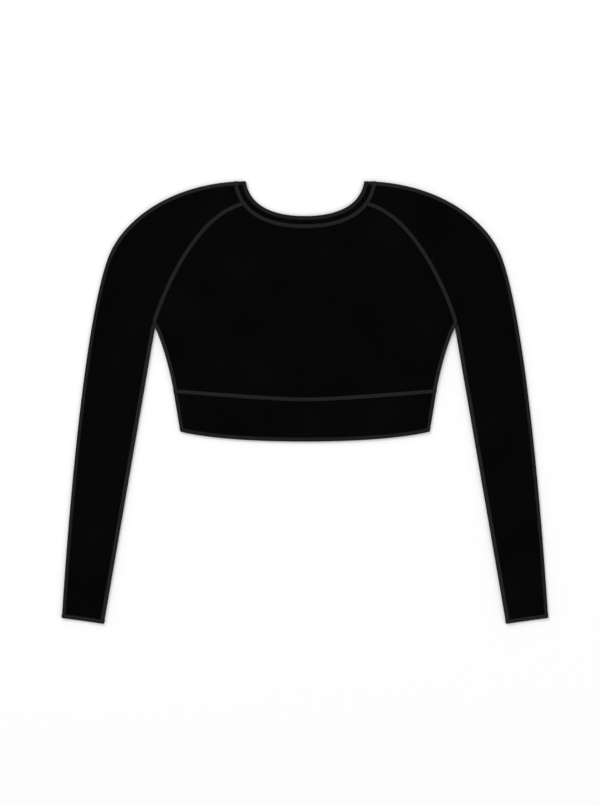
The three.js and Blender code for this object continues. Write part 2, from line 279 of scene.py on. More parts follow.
@dataclass
class Relief:
    """Heights of the laid cloth: the roll along its edges, its sunk seams and its soft creases."""

    outline: Outline
    cloth: Cloth
    seam_depth: float = 0.0002
    seam_reach: float = 0.004
    pucker_height: float = 0.00016
    pucker_spacing: float = 0.013
    pucker_phase: float = 1.3
    other_half_shift: float = 0.37
    billow_height: float = 0.0006
    billow_sizes: tuple = (0.115, 0.083)
    ridges: tuple = (
        Ridge((0.196, 0.112), (0.128, 0.152), 0.0017, 0.0080),
        Ridge((0.190, 0.098), (0.112, 0.096), 0.0012, 0.0095),
        Ridge((0.206, 0.118), (0.243, 0.160), 0.0015, 0.0075),
        Ridge((0.214, 0.088), (0.262, 0.106), 0.0011, 0.0070),
        Ridge((-0.195, 0.113), (-0.136, 0.163), 0.0014, 0.0085),
        Ridge((-0.189, 0.094), (-0.104, 0.080), 0.0015, 0.0100),
        Ridge((-0.207, 0.120), (-0.238, 0.170), 0.0017, 0.0070),
        Ridge((-0.216, 0.084), (-0.258, 0.094), 0.0009, 0.0075),
        Ridge((0.232, -0.020), (0.281, 0.012), 0.0014, 0.0085),
        Ridge((0.240, -0.048), (0.290, -0.036), 0.0009, 0.0070),
        Ridge((0.247, -0.110), (0.296, -0.128), 0.0007, 0.0095),
        Ridge((-0.234, -0.034), (-0.284, -0.002), 0.0012, 0.0090),
        Ridge((-0.246, -0.072), (-0.296, -0.064), 0.0012, 0.0075),
        Ridge((-0.250, -0.142), (-0.301, -0.130), 0.0006, 0.0100),
        Ridge((0.262, -0.232), (0.306, -0.214), 0.0010, 0.0080),
        Ridge((-0.258, -0.214), (-0.305, -0.200), 0.0011, 0.0070),
        Ridge((0.060, 0.228), (0.074, 0.150), 0.0009, 0.0130),
        Ridge((-0.052, 0.226), (-0.078, 0.164), 0.0012, 0.0120),
        Ridge((-0.040, 0.020), (-0.062, 0.074), 0.0010, 0.0140),
        Ridge((0.084, 0.022), (0.096, 0.070), 0.0008, 0.0130),
        Ridge((0.010, 0.015), (0.004, 0.052), 0.0007, 0.0110),
        Ridge((-0.128, 0.018), (-0.112, 0.060), 0.0008, 0.0120),
    )

    def half(self, places: np.ndarray) -> np.ndarray:
        """Return places folded on to the right half."""
        return np.stack([np.abs(places[:, 0]), places[:, 1]], axis=1)

    def to_closed_edge(self, places: np.ndarray) -> np.ndarray:
        """Return the distance to the nearest edge where front and back are joined."""
        shape = self.outline
        lines = (shape.overarm, shape.underarm_seam, shape.side_edge)
        return np.min([line.distance_to(self.half(places))[0] for line in lines], axis=0)

    def to_opening(self, places: np.ndarray) -> np.ndarray:
        """Return the distance to the nearest edge of the neck, the hem or a cuff."""
        shape = self.outline
        lines = (shape.neck_edge, shape.hem_edge, shape.cuff_edge)
        return np.min([line.distance_to(self.half(places))[0] for line in lines], axis=0)

    def pucker(self, places: np.ndarray, seam: Line) -> tuple[np.ndarray, np.ndarray]:
        """Return how near places are to a seam, from 0 to 1, and the height of its small puckers there."""
        gap, along = seam.distance_to(self.half(places))
        shift = np.where(places[:, 0] < 0.0, self.other_half_shift, 0.0)
        reach = smooth(gap, 0.0, 0.003) * (1.0 - smooth(gap, 0.005, 0.016))
        wave = wander(along + shift, self.pucker_spacing, self.pucker_phase)
        return 1.0 - smooth(gap, 0.0, self.seam_reach), self.pucker_height * wave * reach

    def crease(self, places: np.ndarray) -> np.ndarray:
        """Return the height of the soft creases."""
        height = np.zeros(len(places))
        for ridge in self.ridges:
            start, end = np.array(ridge.start), np.array(ridge.end)
            run = end - start
            share = ((places - start) @ run) / (run @ run)
            gap = np.linalg.norm(places - start - np.clip(share, 0.0, 1.0)[:, None] * run, axis=1)
            fade = smooth(share, -0.15, 0.3) * (1.0 - smooth(share, 0.55, 1.15))
            height += ridge.height * fade * np.exp(-((gap / ridge.width) ** 2))
        return height

    def billow(self, places: np.ndarray) -> np.ndarray:
        """Return the height of the long soft waves that laid cloth keeps."""
        across, up = (wander(places[:, k], size, k + 0.4) for k, size in enumerate(self.billow_sizes))
        return self.billow_height * across * up

    def front(self, places: np.ndarray, band: bool) -> np.ndarray:
        """Find the height of the front's outer face.

        Args:
            places: Places on the flat garment.
            band: Whether they are on a band, which is thicker than the single jersey.

        Returns:
            The heights.
        """
        cloth, shape = self.cloth, self.outline
        settled = smooth(self.to_closed_edge(places), cloth.fold_radius, cloth.fold_radius + cloth.roll_width)
        near_neck, neck_pucker = self.pucker(places, shape.neck_seam)
        near_hem, hem_pucker = self.pucker(places, shape.hem_seam)
        near_raglan, raglan_pucker = self.pucker(places, shape.raglan_seam)
        near_band = np.maximum(near_neck, near_hem)
        own = cloth.band_sink if band else cloth.sink
        between = (cloth.band_sink + cloth.sink) / 2.0
        sink = own + (between - own) * near_band
        height = 2.0 * cloth.fold_radius - sink * settled
        height -= self.seam_depth * np.maximum(near_band, near_raglan) * settled
        height += (neck_pucker + hem_pucker + raglan_pucker) * settled * (0.5 if band else 1.0)
        height += self.billow(places) * settled
        return height + (0.0 if band else 1.0) * self.crease(places) * settled * (1.0 - near_band)

    def back(self, places: np.ndarray) -> np.ndarray:
        """Return the height of the back's outer face, which rises a little along its sunk seams."""
        shape = self.outline
        seams = (shape.neck_seam, shape.hem_seam, shape.raglan_seam)
        near = np.max([self.pucker(places, seam)[0] for seam in seams], axis=0)
        return self.cloth.lift + 0.5 * self.seam_depth * near


@dataclass
class Row:
    """One row of a piece, from its left side to its right one."""

    left: np.ndarray
    right: np.ndarray
    up: float
    left_side: Side
    right_side: Side
    rounding: float = RIGHT_ANGLE

    @property
    def width(self) -> float:
        """The straight distance between the row's sides."""
        return float(np.linalg.norm(self.right - self.left))


@dataclass
class Grid:
    """The points of a wall of cloth: its outer and inner faces and the cloth's own flat coordinates."""

    outer: np.ndarray
    inner: np.ndarray
    flat: np.ndarray

    def joined(self, other: "Grid") -> "Grid":
        """Return this grid with another one to its right."""
        return Grid(
            np.concatenate([self.outer, other.outer], axis=1),
            np.concatenate([self.inner, other.inner], axis=1),
            np.concatenate([self.flat, other.flat], axis=1),
        )

    def columns(self, start: int, stop: int | None) -> "Grid":
        """Return some of the columns."""
        return Grid(self.outer[:, start:stop], self.inner[:, start:stop], self.flat[:, start:stop])

    def reversed(self) -> "Grid":
        """Return the grid with its columns the other way round."""
        return Grid(self.outer[:, ::-1], self.inner[:, ::-1], self.flat[:, ::-1])

    def mirrored(self) -> "Grid":
        """Return the grid moved to the other half of the garment."""
        return Grid(mirrored(self.outer), mirrored(self.inner), self.flat)


@dataclass
class ClothPiece:
    """A cut piece of the garment, as a thin closed wall in the place of its solid."""

    outline: Outline
    cloth: Cloth
    relief: Relief
    material: bpy.types.Material
    node: str
    slot: str = "jersey"
    flat_size: tuple = (0.4, 0.3)
    rests_on: tuple = ()
    band: bool = False
    turn_steps: int = 6
    spacing: float = 0.0035

    @property
    def name(self) -> str:
        """The piece's name, after the solid that it stands for."""
        return f"{self.node}_cloth"

    @property
    def wall(self) -> float:
        """The wall's thickness."""
        return self.cloth.band_wall if self.band else self.cloth.wall

    def bow(self, row: Row, share: np.ndarray) -> np.ndarray:
        """Return how far a row bends away from the straight line between its sides."""
        return np.zeros((len(share), 2))

    def place(self, row: Row, share: np.ndarray) -> np.ndarray:
        """Return places along a row, from its left side at 0 to its right side at 1."""
        straight = row.left + share[:, None] * (row.right - row.left)
        return straight + self.bow(row, share)

    def stations(self, width: float, middle: int) -> tuple[np.ndarray, np.ndarray, np.ndarray]:
        """Spread the points of one layer across a row.

        Args:
            width: The row's width.
            middle: How many spaces there are between the two turned edges.

        Returns:
            The inset from the nearer side, how far round the edge each point is, and whether that side is
            the right one.
        """
        radius = self.cloth.fold_radius
        turns = np.linspace(0.0, RIGHT_ANGLE, self.turn_steps + 1)
        edge = radius * (1.0 - np.cos(turns))
        inside = np.linspace(radius, width - radius, middle + 1)[1:-1]
        nearer = np.minimum(inside, width - inside)
        insets = np.concatenate([edge, nearer, edge[::-1]])
        angles = np.concatenate([turns, np.full(len(inside), RIGHT_ANGLE), turns[::-1]])
        right = np.concatenate([np.zeros(len(edge)), inside > width / 2.0, np.ones(len(edge))])
        return insets, angles, right.astype(bool)

    def row_points(self, row: Row, layer: Layer, middle: int) -> tuple[np.ndarray, np.ndarray, np.ndarray]:
        """Work out one layer of a row.

        Args:
            row: The row.
            layer: Which of the two layers.
            middle: How many spaces there are between its turned edges.

        Returns:
            The outer points, the inner points and the flat coordinates of the cloth.
        """
        cloth, width = self.cloth, row.width
        insets, turns, right = self.stations(width, middle)
        sides = np.where(right, row.right_side is not Side.CUT, row.left_side is not Side.CUT)
        seams = np.where(right, row.right_side is Side.SEAM, row.left_side is Side.SEAM)
        turned = sides & (turns < RIGHT_ANGLE)
        radius, wall = cloth.fold_radius, self.wall
        pinch = wall / 2.0 * (1.0 - math.sin(row.rounding))
        outer_radius, inner_radius = radius - pinch, radius - wall + pinch

        def to_share(inset: np.ndarray) -> np.ndarray:
            return np.where(right, 1.0 - inset / width, inset / width)

        outer_insets = np.where(turned, radius - outer_radius * np.cos(turns), insets)
        inner_insets = np.where(turned, radius - inner_radius * np.cos(turns), insets)
        outer_place = self.place(row, to_share(outer_insets))
        inner_place = self.place(row, to_share(inner_insets))
        pulled = np.where(turned, radius - (RIGHT_ANGLE - turns) * radius, insets)
        flat_share = to_share(pulled)
        if layer is Layer.BACK and row.right_side is Side.FOLD:
            flat_share = 2.0 * (1.0 + (RIGHT_ANGLE - 1.0) * radius / width) - flat_share
        gap = np.where(seams & (turns == 0.0), cloth.seam_gap / 2.0, 0.0)
        if layer is Layer.FRONT:
            level = self.relief.front(outer_place, self.band)
            outer = np.where(turned, radius + outer_radius * np.sin(turns) + gap, level - pinch)
            inner = np.where(turned, radius + inner_radius * np.sin(turns) + gap, level - wall + pinch)
        else:
            level = self.relief.back(outer_place)
            outer_turn = radius - (outer_radius - cloth.lift) * np.sin(turns) - gap
            inner_turn = radius - (inner_radius - cloth.lift) * np.sin(turns) - gap
            outer = np.where(turned, outer_turn, level + pinch)
            inner = np.where(turned, inner_turn, level + wall - pinch)
        outer_points = np.column_stack([outer_place, outer])
        inner_points = np.column_stack([inner_place, inner])
        return outer_points, inner_points, self.place(row, flat_share)

    def layer_grid(self, rows: list[Row], layer: Layer) -> Grid:
        """Return one layer of the whole piece as a grid."""
        middle = int(max(row.width for row in rows) / self.spacing)
        found = [self.row_points(row, layer, middle) for row in rows]
        return Grid(*(np.array([points[k] for points in found]) for k in range(3)))

    def mesh(self, grid: Grid, ring: bool) -> bpy.types.Object:
        """Make a closed wall from a grid.

        Args:
            grid: The wall's points.
            ring: Whether the last column joins the first one.

        Returns:
            The new object.
        """
        rows, columns = grid.outer.shape[:2]
        points = np.concatenate([grid.outer.reshape(-1, 3), grid.inner.reshape(-1, 3)])
        base = rows * columns
        spaces = columns if ring else columns - 1
        faces: list[tuple[int, int, int, int]] = []
        corners: list[tuple[tuple[int, int], ...]] = []

        def quad(*steps: tuple[int, int, int]) -> None:
            faces.append(tuple(face * base + row * columns + column % columns for face, row, column in steps))
            corners.append(tuple((row, column) for _, row, column in steps))

        for column in range(spaces):
            following = column + 1
            for row in range(rows - 1):
                above = row + 1
                quad((0, row, column), (0, row, following), (0, above, following), (0, above, column))
                quad((1, row, column), (1, above, column), (1, above, following), (1, row, following))
            last = rows - 1
            quad((0, 0, column), (1, 0, column), (1, 0, following), (0, 0, following))
            quad((0, last, column), (0, last, following), (1, last, following), (1, last, column))
        if not ring:
            end = columns - 1
            for row in range(rows - 1):
                above = row + 1
                quad((0, row, 0), (0, above, 0), (1, above, 0), (1, row, 0))
                quad((0, row, end), (1, row, end), (1, above, end), (0, above, end))
        return self.finished_mesh(points, faces, corners, grid.flat, columns)

    def finished_mesh(
        self, points: np.ndarray, faces: list, corners: list, flat: np.ndarray, columns: int
    ) -> bpy.types.Object:
        """Turn points and faces into an object with its flat coordinates and its distances from the edges.

        Args:
            points: Where the corners are.
            faces: The corners of each face.
            corners: The grid places of each face's corners.
            flat: The cloth's flat coordinates, by row and column.
            columns: How many columns the grid has; not used.

        Returns:
            The new object.
        """
        a, b, c = (points[[face[k] for face in faces]] for k in (0, 1, 2))
        volume = np.einsum("ij,ij->i", a, np.cross(b, c)).sum()
        if volume < 0.0:
            faces = [face[::-1] for face in faces]
            corners = [corner[::-1] for corner in corners]
        data = bpy.data.meshes.new(self.name)
        data.from_pydata(points.tolist(), [], faces)
        wide = flat.shape[1]
        coordinates = [flat[row, min(column, wide - 1)] for corner in corners for row, column in corner]
        layer = data.uv_layers.new(name="Flat cloth")
        layer.data.foreach_set("uv", np.array(coordinates).ravel())
        distances = {"side_distance": self.relief.to_closed_edge, "opening_distance": self.relief.to_opening}
        for label, measured in distances.items():
            attribute = data.attributes.new(label, "FLOAT", "POINT")
            attribute.data.foreach_set("value", measured(points[:, :2]))
        data.polygons.foreach_set("use_smooth", [True] * len(data.polygons))
        data.set_sharp_from_angle(angle=math.radians(50.0))
        data.materials.append(self.material)
        data.update()
        piece = bpy.data.objects.new(self.name, data)
        bpy.context.scene.collection.objects.link(piece)
        return piece

    def area(self, piece: bpy.types.Object) -> float:
        """Return the area of the cloth, which is half the area of its wall."""
        return sum(polygon.area for polygon in piece.data.polygons) / 2.0

    def dress(self, piece: bpy.types.Object) -> bpy.types.Object:
        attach(piece, "root")
        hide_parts(self.node)
        width, length = self.flat_size
        log.info("%s: %d faces, cut %.3f by %.3f m", self.name, len(piece.data.polygons), width, length)
        return piece


def rows_along(length: float, spacing: float) -> np.ndarray:
    """Return evenly spaced distances from 0 to a length."""
    return np.linspace(0.0, length, max(2, int(length / spacing)) + 1)


def both_halves(line: Line, start: float, aside: float, share: np.ndarray) -> np.ndarray:
    """Find places on a line of the right half and its mirror image, as one line from left to right.

    Args:
        line: The line, which ends at the centre front.
        start: How far along it the joined line begins.
        aside: How far it is moved to its left.
        share: How far along the joined line each place is, from 0 to 1.

    Returns:
        The places.
    """
    from_centre = np.abs(2.0 * share - 1.0)
    places = line.at(start + (line.length - start) * (1.0 - np.minimum(from_centre, 1.0)), aside)
    beyond = np.maximum(from_centre - 1.0, 0.0)[:, None] * (line.length - start)
    places = places + beyond * -np.gradient(line.points, line.distances, axis=0)[0]
    return np.where(share[:, None] < 0.5, mirrored(places), places)


@dataclass
class Panel(ClothPiece):
    """The front or the back, from the hem band up to the neckband."""

    layer: Layer = Layer.FRONT

    def bow(self, row: Row, share: np.ndarray) -> np.ndarray:
        """Return how the hem and neck seams bend this row."""
        shape, gap = self.outline, self.cloth.seam_gap / 2.0
        hem_corner, neck_corner = shape.hem_seam.at(0.0), shape.raglan_seam.at(0.0)
        hem = both_halves(shape.hem_seam, 0.0, -gap, share)
        hem = hem - (mirrored(hem_corner) + share[:, None] * (hem_corner - mirrored(hem_corner)))
        neck = both_halves(shape.neck_seam, shape.sleeve_top, gap, share)
        neck = neck - (mirrored(neck_corner) + share[:, None] * (neck_corner - mirrored(neck_corner)))
        return hem * (1.0 - row.up) + neck * row.up

    def rows(self) -> list[Row]:
        """Return the rows from the hem seam to the neck seam."""
        shape, gap = self.outline, self.cloth.seam_gap / 2.0
        side = shape.side_seam - rows_along(shape.side_seam, self.spacing)
        raglan = shape.raglan_seam.length - rows_along(shape.raglan_seam.length, self.spacing)[1:]
        rights = np.concatenate([shape.side_edge.at(side, -gap), shape.raglan_seam.at(raglan, -gap)])
        kinds = [Side.SEAM] * len(side) + [Side.CUT] * len(raglan)
        ups = np.linspace(0.0, 1.0, len(rights))
        return [Row(mirrored(right), right, up, kind, kind) for right, up, kind in zip(rights, ups, kinds)]

    def build(self) -> bpy.types.Object:
        """Return the finished panel."""
        return self.dress(self.mesh(self.layer_grid(self.rows(), self.layer), ring=False))


@dataclass
class Sleeve(ClothPiece):
    """A raglan sleeve, folded over along the overarm and closed by its underarm seam."""

    left_arm: bool = True

    def bow(self, row: Row, share: np.ndarray) -> np.ndarray:
        """Return how the neckband's seam bends this row."""
        shape, gap = self.outline, self.cloth.seam_gap / 2.0
        start, end = shape.neck_seam.at(shape.sleeve_top), shape.neck_seam.at(0.0)
        top = shape.neck_seam.at(shape.sleeve_top * (1.0 - np.clip(share, 0.0, 1.0)), gap)
        straight = start + np.clip(share, 0.0, 1.0)[:, None] * (end - start)
        return (top - straight) * row.up

    def rows(self) -> list[Row]:
        """Return the rows from the cuff, with its rounded edge, to the neckband."""
        shape, gap, half_wall = self.outline, self.cloth.seam_gap / 2.0, self.wall / 2.0
        angles = np.radians([14.0, 40.0, 65.0])
        insets = half_wall * (1.0 - np.cos(angles))
        under_length, over_length = shape.underarm_seam.length, shape.overarm.length
        arm = rows_along(under_length - half_wall, self.spacing) + half_wall
        arm = np.concatenate([insets, arm])
        reach = (over_length - shape.overarm_to_pit) / under_length
        raglan = rows_along(shape.raglan_seam.length, self.spacing)[1:]
        cap = (shape.overarm_to_pit - shape.neckband_width) / shape.raglan_seam.length
        lefts = np.concatenate(
            [
                shape.underarm_seam.at(under_length - arm, gap),
                shape.raglan_seam.at(shape.raglan_seam.length - raglan, gap),
            ]
        )
        down_overarm = np.concatenate([over_length - arm * reach, shape.overarm_to_pit - raglan * cap])
        rights = shape.overarm.at(down_overarm)
        kinds = [Side.SEAM] * len(arm) + [Side.CUT] * len(raglan)
        roundings = list(angles) + [RIGHT_ANGLE] * (len(lefts) - len(angles))
        ups = np.linspace(0.0, 1.0, len(lefts))
        parts = zip(lefts, rights, ups, kinds, roundings)
        return [Row(left, right, up, kind, Side.FOLD, bend) for left, right, up, kind, bend in parts]

    def build(self) -> bpy.types.Object:
        """Return the finished sleeve, its cloth running down the arm."""
        rows = self.rows()
        under = self.layer_grid(rows, Layer.BACK).columns(0, -1)
        sheet = under.joined(self.layer_grid(rows, Layer.FRONT).reversed())
        shape = self.outline
        arm = np.array(shape.cuff_outer) - np.array(shape.shoulder_point)
        turn = math.atan2(arm[0], -arm[1])
        grain = np.array([[math.cos(turn), -math.sin(turn)], [math.sin(turn), math.cos(turn)]])
        sheet.flat = sheet.flat @ grain
        return self.dress(self.mesh(sheet if self.left_arm else sheet.mirrored(), ring=False))


@dataclass
class Band(ClothPiece):
    """A band of doubled jersey, folded at both sides and along its open edge."""

    band: bool = True
    slot: str = "band"

    def lines(self) -> tuple[Line, Line]:
        """Return the band's seam and its open edge."""
        raise NotImplementedError

    def place(self, row: Row, share: np.ndarray) -> np.ndarray:
        """Return places along the band, between its seam and its edge."""
        seam, edge = self.lines()
        sewn = both_halves(seam, 0.0, self.seam_aside(), share)
        return sewn + (both_halves(edge, 0.0, 0.0, share) - sewn) * row.up

    def seam_aside(self) -> float:
        """Return how far the band's cloth stays to the left of its seam."""
        return -self.cloth.seam_gap / 2.0

    def depth(self) -> float:
        """Return the distance between the seam and the edge at the centre front."""
        seam, edge = self.lines()
        return float(np.linalg.norm(seam.points[-1] - edge.points[-1]))

    def rows(self) -> list[Row]:
        """Return the rows from the seam to the edge, which is rounded over."""
        depth, half_wall = self.depth(), self.wall / 2.0
        angles = np.radians([65.0, 40.0, 14.0])
        flat = rows_along(depth - half_wall, min(self.spacing, depth / 6.0))
        downs = np.concatenate([flat, depth - half_wall * (1.0 - np.cos(angles))])
        roundings = [RIGHT_ANGLE] * len(flat) + list(angles)
        half = np.array([self.lines()[0].length, 0.0])
        parts = zip(downs / depth, roundings)
        return [Row(-half, half, up, Side.FOLD, Side.FOLD, bend) for up, bend in parts]

    def build(self) -> bpy.types.Object:
        """Return the finished band, its cloth running round the body."""
        rows = self.rows()
        over = self.layer_grid(rows, Layer.FRONT)
        under = self.layer_grid(rows, Layer.BACK).reversed().columns(1, -1)
        loop = over.joined(under)
        middle = loop.outer[len(rows) // 2]
        steps = np.linalg.norm(np.diff(np.concatenate([middle, middle[:1]]), axis=0), axis=1)
        around = np.concatenate([[0.0], np.cumsum(steps)])
        across = np.array([row.up for row in rows]) * self.depth()
        loop.flat = np.stack(np.meshgrid(around, across), axis=-1)
        return self.dress(self.mesh(loop, ring=True))


@dataclass
class Neckband(Band):
    """The band round the neck."""

    spacing: float = 0.0028

    def lines(self) -> tuple[Line, Line]:
        """Return the neckband's seam and the neck opening."""
        return self.outline.neck_seam, self.outline.neck_edge


@dataclass
class HemBand(Band):
    """The band round the waist."""

    def lines(self) -> tuple[Line, Line]:
        """Return the hem band's seam and its bottom fold."""
        return self.outline.hem_seam, self.outline.hem_edge

    def seam_aside(self) -> float:
        """Return how far the band's cloth stays to the left of its seam."""
        return self.cloth.seam_gap / 2.0


class NodeSheet:
    """A node tree that is being laid out, with short calls to add nodes and join them."""

    def __init__(self, tree: bpy.types.NodeTree) -> None:
        """Start on a tree."""
        self.tree = tree
        self.column = 0

    def add(self, kind: str, settings: dict | None = None, **values: object) -> bpy.types.Node:
        """Add a node.

        Args:
            kind: The node's type.
            settings: Properties of the node.
            values: Values for its inputs, or sockets to join to them, by name with _ for a space.

        Returns:
            The new node.
        """
        node = self.tree.nodes.new(kind)
        node.location = (self.column * 190.0, -(self.column % 4) * 150.0)
        self.column += 1
        for key, value in (settings or {}).items():
            setattr(node, key, value)
        for key, value in values.items():
            self.set(node.inputs[key.replace("_", " ")], value)
        return node

    def set(self, socket: bpy.types.NodeSocket, value: object) -> None:
        """Give a socket a value, or join another socket to it."""
        if isinstance(value, bpy.types.NodeSocket):
            self.tree.links.new(value, socket)
        else:
            socket.default_value = value

    def math(self, operation: str, *values: object) -> bpy.types.NodeSocket:
        """Add a sum of one to three values and return its result."""
        node = self.add("ShaderNodeMath", {"operation": operation})
        for socket, value in zip(node.inputs, values):
            self.set(socket, value)
        return node.outputs[0]

    def vector(self, operation: str, first: object, second: object = None, scale: object = None) -> object:
        """Add a sum of vectors and return its result."""
        node = self.add("ShaderNodeVectorMath", {"operation": operation})
        self.set(node.inputs[0], first)
        if second is not None:
            self.set(node.inputs[1], second)
        if scale is not None:
            self.set(node.inputs["Scale"], scale)
        return node.outputs[0]

    def mix(self, share: object, first: object, second: object) -> bpy.types.NodeSocket:
        """Mix two colours and return the result."""
        node = self.add("ShaderNodeMix", {"data_type": "RGBA"})
        for index, value in ((0, share), (6, first), (7, second)):
            self.set(node.inputs[index], value)
        return node.outputs[2]


def new_group(name: str, kind: str, inputs: dict, outputs: dict) -> bpy.types.NodeTree:
    """Start a node group.

    Args:
        name: The group's name.
        kind: The type of tree.
        inputs: Socket types, or types with a value, by name.
        outputs: Socket types by name.

    Returns:
        The new group.
    """
    group = bpy.data.node_groups.new(name, kind)
    for label, (socket_type, value) in inputs.items():
        socket = group.interface.new_socket(label, in_out="INPUT", socket_type=socket_type)
        if value is not None:
            socket.default_value = value
    for label, socket_type in outputs.items():
        group.interface.new_socket(label, in_out="OUTPUT", socket_type=socket_type)
    return group


def knit_group() -> bpy.types.NodeTree:
    """Build the jersey's knit: columns of small V-shaped stitches on the flat cloth."""
    group = new_group(
        "Jersey knit",
        "ShaderNodeTree",
        {
            "Flat cloth": ("NodeSocketVector", None),
            "Wale": ("NodeSocketFloat", 0.0008),
            "Course": ("NodeSocketFloat", 0.0006),
            "Slant": ("NodeSocketFloat", 1.6),
            "Unevenness": ("NodeSocketFloat", 0.18),
        },
        {"Height": "NodeSocketFloat"},
    )
    sheet = NodeSheet(group)
    source = sheet.add("NodeGroupInput")
    drift = sheet.add("ShaderNodeTexNoise", Vector=source.outputs["Flat cloth"], Scale=260.0, Detail=2.0)
    drift = sheet.math("SUBTRACT", drift.outputs["Fac"], 0.5)
    drift = sheet.math("MULTIPLY", drift, source.outputs["Unevenness"])
    parts = sheet.add("ShaderNodeSeparateXYZ", Vector=source.outputs["Flat cloth"])
    across = sheet.math("ADD", sheet.math("DIVIDE", parts.outputs["X"], source.outputs["Wale"]), drift)
    up = sheet.math("ADD", sheet.math("DIVIDE", parts.outputs["Y"], source.outputs["Course"]), drift)
    side = sheet.math("ABSOLUTE", sheet.math("SUBTRACT", sheet.math("FRACT", across), 0.5))
    leg = sheet.math("SINE", sheet.math("MULTIPLY", side, 2.0 * math.pi))
    slanted = sheet.math("MULTIPLY_ADD", side, source.outputs["Slant"], up)
    loop = sheet.math("SINE", sheet.math("MULTIPLY", slanted, 2.0 * math.pi))
    height = sheet.math("MULTIPLY", leg, sheet.math("MULTIPLY_ADD", loop, 0.35, 0.65))
    sink = sheet.add("NodeGroupOutput")
    sheet.set(sink.inputs["Height"], height)
    return group


def edge_highlight_and_wear_group() -> bpy.types.NodeTree:
    """Build the mask of the painted edge highlight, which also stands for edge wear: 1 along an edge, falling
    off a little unevenly inside it.
    """
    group = new_group(
        "Edge highlight and wear",
        "ShaderNodeTree",
        {
            "Distance": ("NodeSocketFloat", 1.0),
            "Width": ("NodeSocketFloat", 0.0053),
            "Softness": ("NodeSocketFloat", 0.0012),
            "Unevenness": ("NodeSocketFloat", 0.0012),
            "Object": ("NodeSocketVector", None),
        },
        {"Mask": "NodeSocketFloat"},
    )
    sheet = NodeSheet(group)
    source = sheet.add("NodeGroupInput")
    noise = sheet.add("ShaderNodeTexNoise", Vector=source.outputs["Object"], Scale=160.0, Detail=3.0)
    drift = sheet.math("SUBTRACT", noise.outputs["Fac"], 0.5)
    drift = sheet.math("MULTIPLY", drift, source.outputs["Unevenness"])
    place = sheet.math("ADD", source.outputs["Distance"], drift)
    low = sheet.math("SUBTRACT", source.outputs["Width"], source.outputs["Softness"])
    ramp = sheet.add("ShaderNodeMapRange", {"interpolation_type": "SMOOTHSTEP"}, Value=place, From_Min=low)
    sheet.set(ramp.inputs["From Max"], source.outputs["Width"])
    sheet.set(ramp.inputs["To Min"], 1.0)
    sheet.set(ramp.inputs["To Max"], 0.0)
    sink = sheet.add("NodeGroupOutput")
    sheet.set(sink.inputs["Mask"], ramp.outputs["Result"])
    return group


def lint_group() -> bpy.types.NodeTree:
    """Build the fine fibres and cloudy shade that any used cloth or thread has."""
    group = new_group(
        "Fibre",
        "ShaderNodeTree",
        {"Object": ("NodeSocketVector", None), "Fineness": ("NodeSocketFloat", 900.0)},
        {"Fine": "NodeSocketFloat", "Cloud": "NodeSocketFloat"},
    )
    sheet = NodeSheet(group)
    source = sheet.add("NodeGroupInput")
    fine = sheet.add("ShaderNodeTexNoise", Vector=source.outputs["Object"], Detail=4.0)
    sheet.set(fine.inputs["Scale"], source.outputs["Fineness"])
    cloud = sheet.add("ShaderNodeTexNoise", Vector=source.outputs["Object"], Scale=14.0, Detail=3.0)
    sink = sheet.add("NodeGroupOutput")
    sheet.set(sink.inputs["Fine"], fine.outputs["Fac"])
    sheet.set(sink.inputs["Cloud"], cloud.outputs["Fac"])
    return group


def started(name: str) -> tuple[bpy.types.Material, NodeSheet]:
    """Return a new material and its empty node sheet."""
    material = bpy.data.materials.new(name)
    material.use_nodes = True
    material.node_tree.nodes.clear()
    return material, NodeSheet(material.node_tree)


